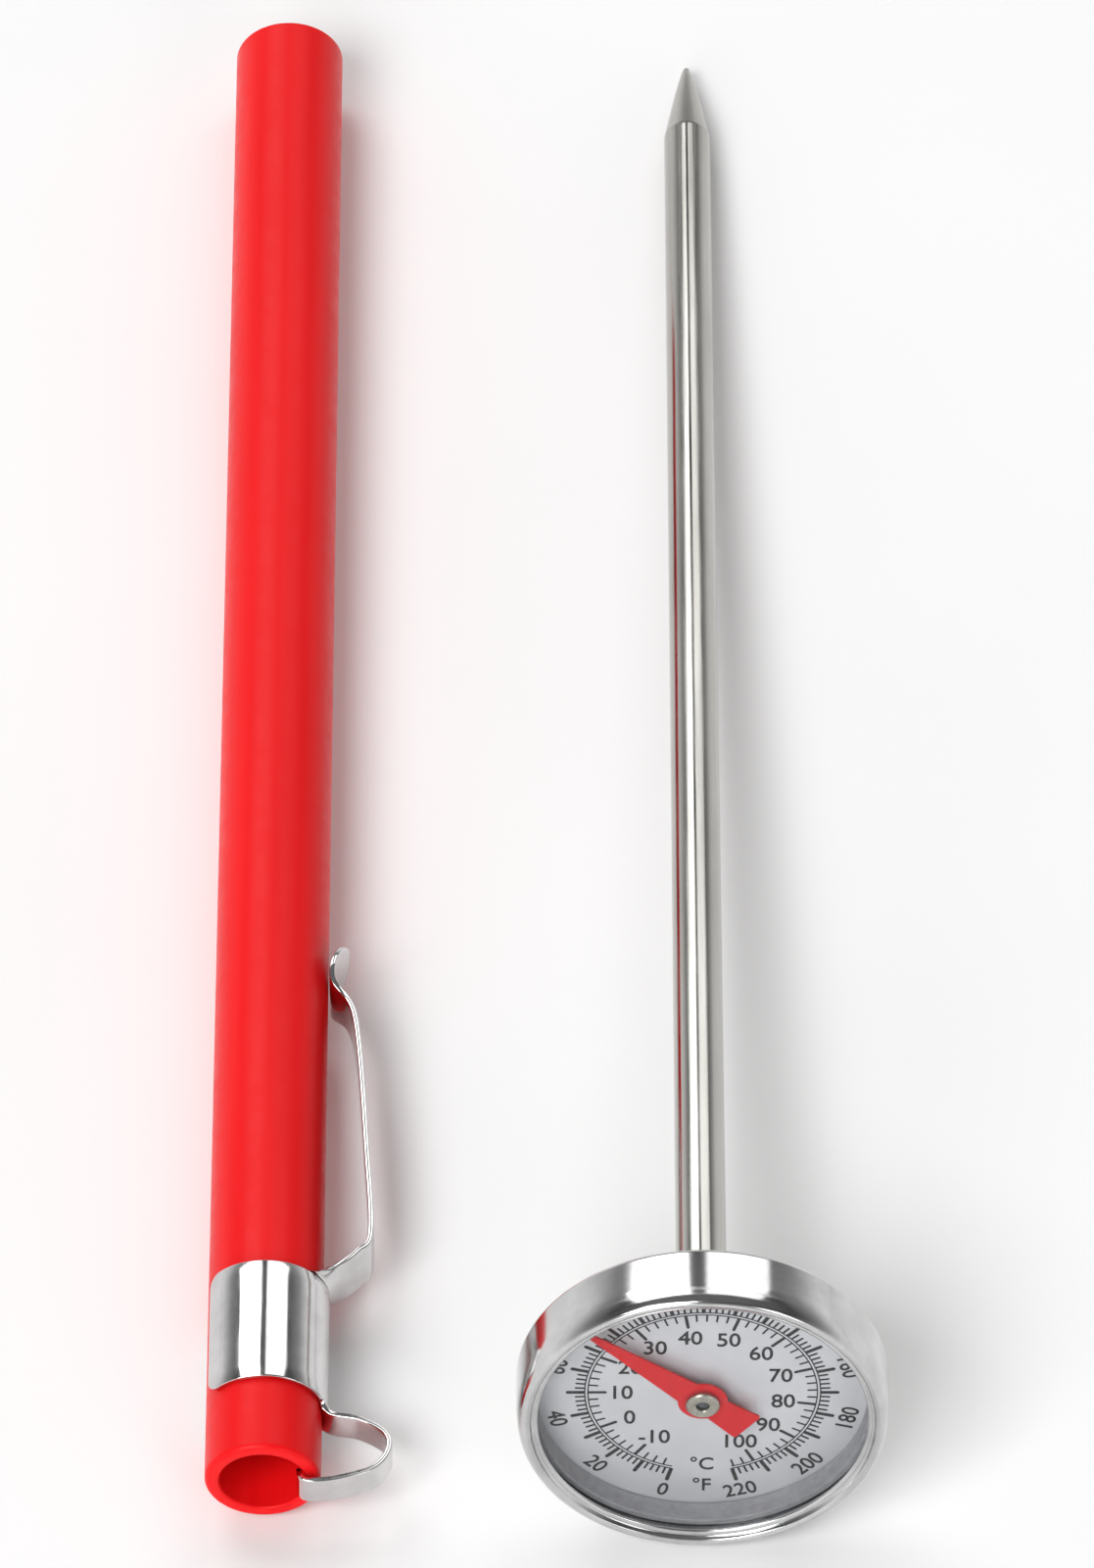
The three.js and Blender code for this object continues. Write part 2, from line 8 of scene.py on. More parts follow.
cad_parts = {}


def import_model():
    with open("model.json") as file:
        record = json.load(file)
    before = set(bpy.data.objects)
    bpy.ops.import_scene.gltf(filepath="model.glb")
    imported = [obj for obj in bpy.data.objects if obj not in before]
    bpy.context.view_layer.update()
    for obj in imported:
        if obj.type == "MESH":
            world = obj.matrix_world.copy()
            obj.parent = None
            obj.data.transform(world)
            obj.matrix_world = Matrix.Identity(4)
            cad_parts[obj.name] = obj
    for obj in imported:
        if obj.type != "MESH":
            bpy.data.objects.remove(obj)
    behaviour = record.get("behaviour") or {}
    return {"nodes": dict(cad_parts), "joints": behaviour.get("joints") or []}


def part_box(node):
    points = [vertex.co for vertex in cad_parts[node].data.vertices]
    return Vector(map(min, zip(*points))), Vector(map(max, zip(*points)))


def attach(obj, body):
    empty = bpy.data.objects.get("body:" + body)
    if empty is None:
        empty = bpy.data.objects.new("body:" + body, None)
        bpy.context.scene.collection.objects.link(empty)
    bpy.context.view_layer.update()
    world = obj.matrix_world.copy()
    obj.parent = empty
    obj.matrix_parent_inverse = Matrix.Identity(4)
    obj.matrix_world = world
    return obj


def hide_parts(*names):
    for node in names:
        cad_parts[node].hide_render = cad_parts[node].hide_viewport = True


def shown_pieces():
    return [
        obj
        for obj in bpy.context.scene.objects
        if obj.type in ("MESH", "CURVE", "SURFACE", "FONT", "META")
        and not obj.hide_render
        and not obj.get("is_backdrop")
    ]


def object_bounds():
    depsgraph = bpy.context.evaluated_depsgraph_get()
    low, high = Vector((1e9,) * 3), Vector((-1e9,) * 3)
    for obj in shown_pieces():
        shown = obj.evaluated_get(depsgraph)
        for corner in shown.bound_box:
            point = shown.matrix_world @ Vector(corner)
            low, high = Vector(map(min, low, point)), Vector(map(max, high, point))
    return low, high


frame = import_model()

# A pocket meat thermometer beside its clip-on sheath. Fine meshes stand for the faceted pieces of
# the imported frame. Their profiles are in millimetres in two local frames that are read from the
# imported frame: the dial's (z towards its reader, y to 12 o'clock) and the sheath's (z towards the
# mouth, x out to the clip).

cad_low, cad_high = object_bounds()

MM = 0.001
GAP = 0.06

# Head. z = 0 is the printed face of the dial.
HEAD_RADIUS = 12.7
BEZEL_BACK_Z = -1.75
BEZEL_FRONT_Z = 3.1
WINDOW_RADIUS = 11.25
CASE_RADIUS = 12.0
CASE_BORE_RADIUS = 11.5
CASE_TOP_Z = 1.35
CASE_FLOOR_Z = -1.6
SHEET = 0.45
SEAT_Z = -3.75
SEAT_RADIUS = 5.4
FLARE_RADIUS = 10.8
FLARE_Z = -2.12
DISH_BEND = (7.2, -2.25)
FLOOR_BEND = (7.3, -1.75)
CREST_CENTRE = (11.42, -1.88)
CREST_SIZE = 0.5
CASE_EASE = 0.12
BEZEL_SKIRT_EDGE = 0.5
BEZEL_ROLL_Z = 1.3
BEZEL_CROWN_RADIUS = 12.05
BEZEL_LIP = ((11.8, 2.98), (11.62, 2.6), (11.5, 2.74))
BEZEL_LIP_Z = 2.62
BEZEL_EASE = 0.08
LENS_RADIUS = 11.75
LENS_BOTTOM_Z = 1.72
LENS_RIM = 0.66
LENS_RISE = 0.75
LENS_STEPS = 24
LENS_EASE = 0.05
SEAL_EASE = 0.08
DIAL_RADIUS = 11.4
DIAL_HOLE_RADIUS = 0.9
DIAL_THICKNESS = 0.3

# Nut, stem and pointer, on the same axis.
NUT_FLATS = 9.2
NUT_FACE_Z = -7.95
NUT_NOSE = 1.7
NUT_NOSE_CUT = 1.15
NUT_BORE_CHAMFER = 0.3
NUT_EASE = 0.08
NUT_CORNER_BLEND = 0.3
NUT_NOSE_BLEND = 0.12
BUSHING_SETBACK = 1.2
NUT_BORE_RADIUS = 2.05
NECK_RADIUS = 3.2
NECK_GROOVE_RADIUS = 2.88
NECK_GROOVE = (-2.94, -2.38)
NECK_TOP_Z = -2.1
STEM_RADIUS = 1.75
STEM_BORE_RADIUS = 1.5
STEM_TOP_Z = -2.25
STEM_LENGTH = 127.0
TAPER_LENGTH = 8.0
TAPER_POWER = 0.85
TAPER_STEPS = 24
TIP_RADIUS = 0.28
SHAFT_RADIUS = 0.5
SHAFT_END_RADIUS = 0.38
SHAFT_STEP_Z = 0.25
SHAFT_TOP_Z = 1.15
SHAFT_BOTTOM_Z = -93.4
SHAFT_EASE = 0.06
POINTER_Z = 0.7
POINTER_THICKNESS = 0.2
POINTER_LENGTH = 9.95
POINTER_TIP_HALF = 0.225
POINTER_TIP_BOW = 0.1
POINTER_CORNER = 0.25
POINTER_EASE = 0.03
POINTER_WAIST_HALF = 1.05
POINTER_DISC_RADIUS = 1.7
POINTER_HOLE_RADIUS = 0.82
POINTER_TAIL = 4.05
POINTER_TAIL_HALF = 1.37
HUB_RADIUS = 1.17
HUB_BASE_RADIUS = 1.05
HUB_TOP_Z = 1.38
HUB_CHAMFER = 0.12
HUB_CROWN = 0.14
HUB_BORE_CHAMFER = 0.08
HUB_EASE = 0.05

# Scales. Angles run clockwise from 12 o'clock.
ZERO_F_DEG = -165.0
DEG_PER_F = 1.5
TOP_F = 220
REST_F = 77
SCALE_RINGS = (7.79, 8.01)
RING_LINE = 0.09
F_TICKS = ((2, 8.7, 0.155), (10, 9.3, 0.28))
C_TICKS = ((2, 7.1, 0.14), (10, 6.5, 0.23))
F_NUMBER_RADIUS = 10.2
F_NUMBER_HEIGHT = 1.25
C_NUMBER_RADIUS = 5.55
C_NUMBER_HEIGHT = 1.35
UNIT_HEIGHT = 1.25
UNIT_C_Y = -7.25
UNIT_F_Y = -9.4
LETTER_WEIGHT = 0.013
LETTER_NARROWING = 0.9
INK_LOW = -0.01
INK_HIGH = 0.014

# Sheath. z = 0 is its mouth.
SHEATH_RADIUS = 4.0
SHEATH_BORE_RADIUS = 3.0
SHEATH_LENGTH = 134.0
SHEATH_END_WALL = 1.5
SHEATH_EDGE = 0.4
SHEATH_FLOOR_CHAMFER = 0.4

# Clip, stamped from one sheet.
CLIP_SHEET = 0.4
CLIP_EASE = 0.1
BAND_MIDDLE_RADIUS = 4.25
BAND_HEIGHT = 10.0
BAND_MOUTH_Z = -5.8
BAND_END_DEG = 150.0
BAND_CORNER = 1.1
ARM_WIDTHS = (4.2, 3.5)
ARM_NARROW_Z = -38.4
PADDLE_RADIUS = 2.6
PADDLE_FLARE = 3.2
ARM_PATH = (
    (4.24, -15.83), (4.26, -16.1), (4.8, -16.8), (6.3, -18.5), (7.2, -20.1),
    (6.9, -27.0), (5.95, -39.4), (4.28, -42.9), (5.3, -46.4),
)
LOOP_WIDTH = 2.4
LOOP_PATH = (
    (4.24, -6.2), (4.24, -5.8), (4.27, -5.5), (4.85, -5.0), (6.6, -4.6), (8.3, -3.5), (8.6, -2.1),
    (7.6, -0.5), (5.2, 0.4), (3.4, 0.62), (2.6, 0.25), (2.5, -0.9),
)
ROOT_FILLET = 1.2

# How far along each strip its section goes on being curved like the band, and how the loop's
# start lies inside the band.
ARM_WRAP = 3.0
LOOP_WRAP = 1.8
LOOP_EMBEDDED = 0.35
EMBEDDED_INSET = 0.01
LOOP_FILLET_START = 0.4
LOOP_FILLET_SHARE = 0.4

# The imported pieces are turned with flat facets. The fine ones have the radius that those facets
# touch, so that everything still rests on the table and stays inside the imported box.
FIT_40 = math.cos(math.pi / 40)
FIT_24 = math.cos(math.pi / 24)

HEAD_ROUND = 256
LENS_ROUND = 128
ROUND = 192
SMALL_ROUND = 96
SHAFT_ROUND = 48
NUT_ROUND = 360
CURVE_STEPS = 16
EDGE_STEPS = 4
SPLINE_STEPS = 96
BAND_STEPS = 120
CORNER_STEPS = 12
STRIP_STEPS = 160
TIP_STEPS = 24
SHEET_STEPS = 10
SHEET_EDGE_STEPS = 3
SMOOTH_ANGLE = math.radians(35)
SHARP_CORNER = math.radians(25)


# Local frames

def local_frame(origin, toward_z):
    z_axis = Vector(toward_z).normalized()
    x_axis = Vector((1, 0, 0))
    y_axis = z_axis.cross(x_axis)
    axes = Matrix((x_axis, y_axis, z_axis)).transposed().to_4x4()
    return Matrix.Translation(origin) @ axes @ Matrix.Scale(MM, 4)


def dial_frame():
    turn = next(j for j in frame["joints"] if j["name"] == "calibration_turn")
    return local_frame(turn["pos_m"], turn["axis"])


def sheath_frame():
    low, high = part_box("sheath_tube")
    middle = (low + high) / 2
    return local_frame((middle.x, low.y, middle.z), (0, -1, 0))


DIAL = dial_frame()
SHEATH = sheath_frame()


# Profiles, as lists of (radius, z)

def arc(centre, size, start_deg, end_deg, steps=CURVE_STEPS):
    points = []
    for i in range(steps + 1):
        angle = math.radians(start_deg + (end_deg - start_deg) * i / steps)
        points.append((centre[0] + size * math.cos(angle), centre[1] + size * math.sin(angle)))
    return points


def bend(start, control, end, steps=CURVE_STEPS):
    points = []
    for i in range(steps + 1):
        t = i / steps
        weights = ((1 - t) ** 2, 2 * t * (1 - t), t ** 2)
        points.append(tuple(
            sum(w * p[k] for w, p in zip(weights, (start, control, end))) for k in (0, 1)
        ))
    return points


def eased(points, size, closed=True):
    """The same outline with its corners sharper than 25 degrees rounded off."""
    result = []
    for i, point in enumerate(points):
        inner = closed or 0 < i < len(points) - 1
        here = Vector(point)
        back = Vector(points[i - 1]) - here
        ahead = Vector(points[(i + 1) % len(points)]) - here
        if not inner or math.pi - back.angle(ahead) < SHARP_CORNER:
            result.append(tuple(here))
            continue
        cut = min(size, 0.45 * back.length, 0.45 * ahead.length)
        start = here + back.normalized() * cut
        end = here + ahead.normalized() * cut
        result.extend(bend(start, here, end, EDGE_STEPS))
    return result


def spline(points, steps=SPLINE_STEPS):
    """A smooth curve through the points, with its ends held straight."""
    ends = [points[0], *points, points[-1]]
    result = []
    for i in range(len(points) - 1):
        before, start, end, after = (Vector(p) for p in ends[i:i + 4])
        for k in range(steps):
            t = k / steps
            pull_start = (end - before) / 2
            pull_end = (after - start) / 2
            result.append(
                (2 * t ** 3 - 3 * t ** 2 + 1) * start
                + (t ** 3 - 2 * t ** 2 + t) * pull_start
                + (3 * t ** 2 - 2 * t ** 3) * end
                + (t ** 3 - t ** 2) * pull_end
            )
    return [*result, Vector(points[-1])]


def walk(path, distances):
    """Places and directions along a path at the given distances from its start."""
    lengths = [0.0]
    for a, b in zip(path, path[1:]):
        lengths.append(lengths[-1] + (b - a).length)
    result = []
    k = 0
    for distance in distances:
        while k < len(path) - 2 and lengths[k + 1] < distance:
            k += 1
        share = (distance - lengths[k]) / (lengths[k + 1] - lengths[k])
        ahead = (path[min(k + 2, len(path) - 1)] - path[k]).normalized()
        behind = (path[k + 1] - path[max(k - 1, 0)]).normalized()
        result.append((path[k].lerp(path[k + 1], share), behind.lerp(ahead, share).normalized()))
    return result


def path_length(path):
    return sum((b - a).length for a, b in zip(path, path[1:]))


# Mesh forms, as (vertices, faces) in a local frame

def loft(rows, wrap=False):
    """Joins rows of points into a closed surface. A row of one point is a pole."""
    verts = [point for row in rows for point in row]
    starts = [0]
    for row in rows:
        starts.append(starts[-1] + len(row))
    faces = []
    for i in range(len(rows) if wrap else len(rows) - 1):
        k = (i + 1) % len(rows)
        a, b = starts[i], starts[k]
        size_a, size_b = len(rows[i]), len(rows[k])
        for j in range(max(size_a, size_b)):
            n = (j + 1) % max(size_a, size_b)
            corners = [a + j % size_a, a + n % size_a, b + n % size_b, b + j % size_b]
            faces.append(list(dict.fromkeys(corners)))
    if not wrap:
        for i in (0, len(rows) - 1):
            if len(rows[i]) > 1:
                faces.append(list(range(starts[i], starts[i] + len(rows[i]))))
    return verts, faces


def circle_row(radius, z, segments):
    if radius < 1e-6:
        return [(0, 0, z)]
    angles = [2 * math.pi * i / segments for i in range(segments)]
    return [(radius * math.cos(a), radius * math.sin(a), z) for a in angles]


def turned(profile, fit, segments=ROUND):
    """Turns a profile about z. One that starts on the axis is closed by it, others by themselves."""
    rows = [circle_row(radius * fit, z, segments) for radius, z in profile]
    return loft(rows, wrap=profile[0][0] > 0)


def prism(outline, low, high):
    return loft([[(x, y, low) for x, y in outline], [(x, y, high) for x, y in outline]])


def joined(forms):
    verts, faces = [], []
    for form_verts, form_faces in forms:
        offset = len(verts)
        verts.extend(form_verts)
        faces.extend([i + offset for i in face] for face in form_faces)
    return verts, faces


def from_curve(curve, grow=0.0):
    """The filled mesh of a flat curve or text, with its points welded and its sides moved out."""
    holder = bpy.data.objects.new("holder", curve)
    bpy.context.scene.collection.objects.link(holder)
    depsgraph = bpy.context.evaluated_depsgraph_get()
    mesh = bpy.data.meshes.new_from_object(holder.evaluated_get(depsgraph))
    bpy.data.objects.remove(holder)
    weld = bmesh.new()
    weld.from_mesh(mesh)
    bmesh.ops.remove_doubles(weld, verts=weld.verts, dist=1e-5)
    verts = [tuple(v.co + side_shift(v) * grow) for v in weld.verts]
    weld.verts.index_update()
    faces = [[v.index for v in face.verts] for face in weld.faces]
    weld.free()
    bpy.data.meshes.remove(mesh)
    return verts, faces


def side_shift(vert):
    """How far a point moves for each unit that the upright sides around it move outward."""
    sides = []
    for face in vert.link_faces:
        upright = abs(face.normal.z) < 0.5
        if upright and all(face.normal.dot(known) < 0.999 for known in sides):
            sides.append(face.normal.copy())
    if not sides:
        return Vector((0, 0, 0))
    total = sum(sides, Vector((0, 0, 0)))
    return total / max(total.dot(sides[0]), 0.5)


def plate(outlines, thickness, ease):
    """A flat plate with eased edges. The outlines after the first one are holes."""
    curve = bpy.data.curves.new("plate", "CURVE")
    curve.dimensions = "2D"
    curve.fill_mode = "BOTH"
    curve.extrude = thickness / 2 - ease
    curve.bevel_depth = ease
    curve.bevel_resolution = 2
    curve.offset = -ease
    for outline in outlines:
        line = curve.splines.new("POLY")
        line.points.add(len(outline) - 1)
        for point, (x, y) in zip(line.points, outline):
            point.co = (x, y, 0, 1)
        line.use_cyclic_u = True
    return from_curve(curve)


def glyphs(text):
    """The text's mesh around the origin: one high for a full digit, one thick."""
    curve = bpy.data.curves.new("glyphs", "FONT")
    curve.body = text
    curve.align_x = "CENTER"
    curve.extrude = 0.5
    curve.resolution_u = 5
    return from_curve(curve, LETTER_WEIGHT)


DIGIT_BOX = [v[1] for v in glyphs("8")[0]]
DIGIT_LOW = min(DIGIT_BOX)
DIGIT_SIZE = max(DIGIT_BOX) - DIGIT_LOW


def lettering(text, x, y, height, angle=0.0):
    """Printed text with the middle of its digits at x, y, turned by an angle."""
    verts, faces = glyphs(text)
    scale = height / DIGIT_SIZE
    cos_a, sin_a = math.cos(angle), math.sin(angle)
    placed = []
    for u, v, w in verts:
        across = u * scale * LETTER_NARROWING
        up = (v - DIGIT_LOW) * scale - height / 2
        depth = INK_LOW + (w + 0.5) * (INK_HIGH - INK_LOW)
        placed.append((x + across * cos_a - up * sin_a, y + across * sin_a + up * cos_a, depth))
    return placed, faces


# Pieces

def piece(name, form, place, body, look, stands_for=()):
    """Adds a form as a piece that rides on a body and stands for some CAD nodes."""
    verts, faces = form
    mesh = bpy.data.meshes.new(name)
    mesh.from_pydata([place @ Vector(v) for v in verts], [], faces)
    tidy = bmesh.new()
    tidy.from_mesh(mesh)
    bmesh.ops.recalc_face_normals(tidy, faces=tidy.faces)
    tidy.to_mesh(mesh)
    tidy.free()
    mesh.shade_smooth()
    mesh.set_sharp_from_angle(angle=SMOOTH_ANGLE)
    mesh.materials.append(look)
    made = bpy.data.objects.new(name, mesh)
    bpy.context.scene.collection.objects.link(made)
    shading = made.modifiers.new("shading", "WEIGHTED_NORMAL")
    shading.keep_sharp = True
    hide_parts(*stands_for)
    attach(made, body)
    return made


def case_form():
    outside = bend((SEAT_RADIUS, SEAT_Z), DISH_BEND, (FLARE_RADIUS, FLARE_Z), 32)
    crest = arc(CREST_CENTRE, CREST_SIZE, 215, 350)
    inside = bend((FLARE_RADIUS, CASE_FLOOR_Z), FLOOR_BEND, (SEAT_RADIUS, SEAT_Z + SHEET), 24)
    return turned(eased([
        (NECK_RADIUS + GAP, SEAT_Z),
        *outside,
        *crest,
        (CASE_RADIUS, CASE_TOP_Z),
        (CASE_BORE_RADIUS, CASE_TOP_Z),
        (CASE_BORE_RADIUS, CASE_FLOOR_Z),
        *inside,
        (NECK_RADIUS + GAP, SEAT_Z + SHEET),
    ], CASE_EASE), FIT_40, HEAD_ROUND)


def bezel_form():
    skirt_centre = (HEAD_RADIUS - BEZEL_SKIRT_EDGE, BEZEL_BACK_Z + BEZEL_SKIRT_EDGE)
    skirt = arc(skirt_centre, BEZEL_SKIRT_EDGE, -90, 0)
    roll = bend((HEAD_RADIUS, BEZEL_ROLL_Z), (HEAD_RADIUS, BEZEL_FRONT_Z),
                (BEZEL_CROWN_RADIUS, BEZEL_FRONT_Z), 24)
    lip = bend(*BEZEL_LIP, 8)
    return turned(eased([
        (CASE_RADIUS + GAP, BEZEL_BACK_Z),
        *skirt,
        *roll,
        *lip,
        (WINDOW_RADIUS, BEZEL_LIP_Z),
        (WINDOW_RADIUS, LENS_BOTTOM_Z + LENS_RIM + GAP),
        (LENS_RADIUS + GAP, LENS_BOTTOM_Z + LENS_RIM + GAP),
        (LENS_RADIUS + GAP, CASE_TOP_Z + GAP),
        (CASE_RADIUS + GAP, CASE_TOP_Z + GAP),
    ], BEZEL_EASE), FIT_40, HEAD_ROUND)


def lens_form():
    edge = WINDOW_RADIUS - 0.1
    shares = [i / LENS_STEPS for i in range(LENS_STEPS + 1)]
    dome = [(edge * s, LENS_BOTTOM_Z + LENS_RISE * (1 - s * s)) for s in shares]
    crown = [(r, z + LENS_RIM) for r, z in reversed(dome)]
    rim = [(LENS_RADIUS, LENS_BOTTOM_Z), (LENS_RADIUS, LENS_BOTTOM_Z + LENS_RIM)]
    return turned(eased([*dome, *rim, *crown], LENS_EASE, closed=False), FIT_40, LENS_ROUND)


def gasket_form():
    return turned(eased([
        (WINDOW_RADIUS, GAP),
        (CASE_BORE_RADIUS - GAP, GAP),
        (CASE_BORE_RADIUS - GAP, CASE_TOP_Z + GAP),
        (LENS_RADIUS, CASE_TOP_Z + GAP),
        (LENS_RADIUS, LENS_BOTTOM_Z - GAP),
        (WINDOW_RADIUS, LENS_BOTTOM_Z - GAP),
    ], SEAL_EASE), FIT_40)


def sleeve_form(inner, outer, low, high, fit):
    profile = [(inner, low), (outer, low), (outer, high), (inner, high)]
    return turned(eased(profile, 0.04), fit)


def nut_form():
    """A hexagon with a bullet nose: each row of points is the smaller of a circle and the hexagon."""
    corner = NUT_FLATS / 2 / math.cos(math.pi / 6)
    outside = corner + 0.05
    nose = bend((corner - NUT_NOSE_CUT, NUT_FACE_Z), (corner - 0.1, NUT_FACE_Z + 0.15),
                (outside, NUT_FACE_Z + NUT_NOSE), 40)
    profile = eased([
        (NUT_BORE_RADIUS, NECK_TOP_Z),
        (NUT_BORE_RADIUS, NUT_FACE_Z + NUT_BORE_CHAMFER),
        (NUT_BORE_RADIUS + NUT_BORE_CHAMFER, NUT_FACE_Z),
        *nose,
        (outside, SEAT_Z - GAP - 0.12),
        (corner - 0.3, SEAT_Z - GAP),
        (NECK_RADIUS, SEAT_Z - GAP),
        (NECK_RADIUS, NECK_GROOVE[0]),
        (NECK_GROOVE_RADIUS, NECK_GROOVE[0]),
        (NECK_GROOVE_RADIUS, NECK_GROOVE[1]),
        (NECK_RADIUS, NECK_GROOVE[1]),
        (NECK_RADIUS, NECK_TOP_Z),
    ], NUT_EASE)
    rows = []
    for limit, z in profile:
        row = []
        for i in range(NUT_ROUND):
            angle = 2 * math.pi * i / NUT_ROUND
            off_flat = angle % (math.pi / 3) - math.pi / 6
            near = NUT_FLATS / 2 / math.cos(off_flat)
            far = NUT_FLATS / 2 / math.cos(math.pi / 3 - abs(off_flat))
            hexagon = soft_min(near, far, NUT_CORNER_BLEND)
            radius = soft_min(hexagon, limit, NUT_NOSE_BLEND)
            row.append((radius * math.cos(angle), radius * math.sin(angle), z))
        rows.append(row)
    return loft(rows, wrap=True)


def soft_min(a, b, blend):
    """The smaller of two values, with the change from one to the other rounded off."""
    overlap = max(blend - abs(a - b), 0.0) / blend
    return min(a, b) - overlap ** 2 * blend / 4


def stem_form():
    tip_z = NUT_FACE_Z - STEM_LENGTH
    shoulder_z = tip_z + TAPER_LENGTH
    taper = []
    for i in range(TAPER_STEPS + 1):
        share = i / TAPER_STEPS
        radius = TIP_RADIUS + (STEM_RADIUS - TIP_RADIUS) * (1 - share) ** TAPER_POWER
        taper.append((radius, shoulder_z - (TAPER_LENGTH - TIP_RADIUS) * share))
    point = arc((0, tip_z + TIP_RADIUS), TIP_RADIUS, 0, -90, 8)[1:-1]
    return turned([
        (0, shoulder_z),
        (STEM_BORE_RADIUS, shoulder_z),
        (STEM_BORE_RADIUS, STEM_TOP_Z),
        (STEM_RADIUS, STEM_TOP_Z),
        *taper,
        *point,
        (0, tip_z),
    ], FIT_24, SMALL_ROUND)


def shaft_form():
    return turned(eased([
        (0, SHAFT_BOTTOM_Z),
        (SHAFT_RADIUS, SHAFT_BOTTOM_Z),
        (SHAFT_RADIUS, SHAFT_STEP_Z),
        (SHAFT_END_RADIUS, SHAFT_STEP_Z),
        (SHAFT_END_RADIUS, SHAFT_TOP_Z),
        (0, SHAFT_TOP_Z),
    ], SHAFT_EASE, closed=False), FIT_24, SHAFT_ROUND)


def hub_form():
    neck = POINTER_HOLE_RADIUS - GAP
    bore = SHAFT_END_RADIUS + GAP
    over = POINTER_Z + POINTER_THICKNESS + GAP
    return turned(eased([
        (bore, SHAFT_STEP_Z + GAP),
        (HUB_BASE_RADIUS, SHAFT_STEP_Z + GAP),
        (HUB_BASE_RADIUS, POINTER_Z - GAP),
        (neck, POINTER_Z - GAP),
        (neck, over),
        (HUB_RADIUS, over),
        (HUB_RADIUS, HUB_TOP_Z - HUB_CHAMFER),
        (HUB_RADIUS - HUB_CROWN, HUB_TOP_Z),
        (bore + HUB_BORE_CHAMFER, HUB_TOP_Z),
        (bore, HUB_TOP_Z - HUB_BORE_CHAMFER),
    ], HUB_EASE), FIT_24, SMALL_ROUND)


def pointer_form():
    """The blade points along y and is then turned to its resting mark."""
    neck_y = math.sqrt(POINTER_DISC_RADIUS ** 2 - POINTER_WAIST_HALF ** 2)
    start = math.degrees(math.atan2(neck_y, -POINTER_WAIST_HALF))
    shoulder_y = POINTER_LENGTH - POINTER_TIP_BOW
    tip = bend((POINTER_TIP_HALF, shoulder_y), (0, POINTER_LENGTH + POINTER_TIP_BOW),
               (-POINTER_TIP_HALF, shoulder_y), 6)
    left = arc((0, 0), POINTER_DISC_RADIUS, start, 360 - start, 24)
    tail = eased([
        left[-1],
        (-POINTER_TAIL_HALF, -POINTER_TAIL),
        (POINTER_TAIL_HALF, -POINTER_TAIL),
        (POINTER_WAIST_HALF, -neck_y),
    ], POINTER_CORNER, closed=False)
    right = arc((0, 0), POINTER_DISC_RADIUS, start - 180, 180 - start, 24)
    outline = [*tip, *left, *tail[1:-1], *right]
    hole = arc((0, 0), POINTER_HOLE_RADIUS, 0, 350, 35)
    verts, faces = plate([outline, hole], POINTER_THICKNESS, POINTER_EASE)
    turn = Matrix.Rotation(-dial_angle(REST_F), 3, "Z")
    lift = Vector((0, 0, POINTER_Z + POINTER_THICKNESS / 2))
    return [tuple(turn @ Vector(v) + lift) for v in verts], faces


def dial_angle(fahrenheit):
    """Clockwise from 12 o'clock, in radians."""
    return math.radians(ZERO_F_DEG + DEG_PER_F * fahrenheit)


def dial_angle_c(celsius):
    return dial_angle(1.8 * celsius + 32)


def tick(angle, start, end, width):
    """A straight mark along the radius with a round far end."""
    half = width / 2
    way = 1 if end > start else -1
    cap = arc((0, end - way * half), half, 0, 180 * way, 6)
    outline = [(half, start), *cap, (-half, start)]
    cos_a, sin_a = math.cos(angle), math.sin(angle)
    return prism([(x * cos_a + y * sin_a, y * cos_a - x * sin_a) for x, y in outline],
                 INK_LOW, INK_HIGH)


def scale_ring(radius):
    rows = []
    for fahrenheit in range(TOP_F + 1):
        angle = dial_angle(fahrenheit)
        rows.append([
            (r * math.sin(angle), r * math.cos(angle), z)
            for r, z in (
                (radius - RING_LINE / 2, INK_LOW),
                (radius + RING_LINE / 2, INK_LOW),
                (radius + RING_LINE / 2, INK_HIGH),
                (radius - RING_LINE / 2, INK_HIGH),
            )
        ])
    return loft(rows)


def scale_ticks(angle_of, start_radius, kinds, first, last):
    """Fine marks every two degrees with bold ones at the tens."""
    (step, fine_end, fine), (ten, bold_end, bold) = kinds
    forms = []
    for degree in range(first, last + 1, step):
        if degree % ten:
            forms.append(tick(angle_of(degree), start_radius, fine_end, fine))
        else:
            forms.append(tick(angle_of(degree), start_radius, bold_end, bold))
    return forms


def print_form():
    forms = [scale_ring(radius) for radius in SCALE_RINGS]
    forms += scale_ticks(dial_angle, SCALE_RINGS[1], F_TICKS, 0, TOP_F)
    forms += scale_ticks(dial_angle_c, SCALE_RINGS[0], C_TICKS, -16, 104)
    for fahrenheit in range(0, TOP_F + 1, 20):
        angle = dial_angle(fahrenheit)
        x, y = F_NUMBER_RADIUS * math.sin(angle), F_NUMBER_RADIUS * math.cos(angle)
        turn = -angle if y > 0 else math.pi - angle
        forms.append(lettering(str(fahrenheit), x, y, F_NUMBER_HEIGHT, turn))
    for celsius in range(-10, 101, 10):
        angle = dial_angle_c(celsius)
        x, y = C_NUMBER_RADIUS * math.sin(angle), C_NUMBER_RADIUS * math.cos(angle)
        forms.append(lettering(str(celsius), x, y, C_NUMBER_HEIGHT))
    forms.append(lettering("°C", 0, UNIT_C_Y, UNIT_HEIGHT))
    forms.append(lettering("°F", 0, UNIT_F_Y, UNIT_HEIGHT))
    return joined(forms)


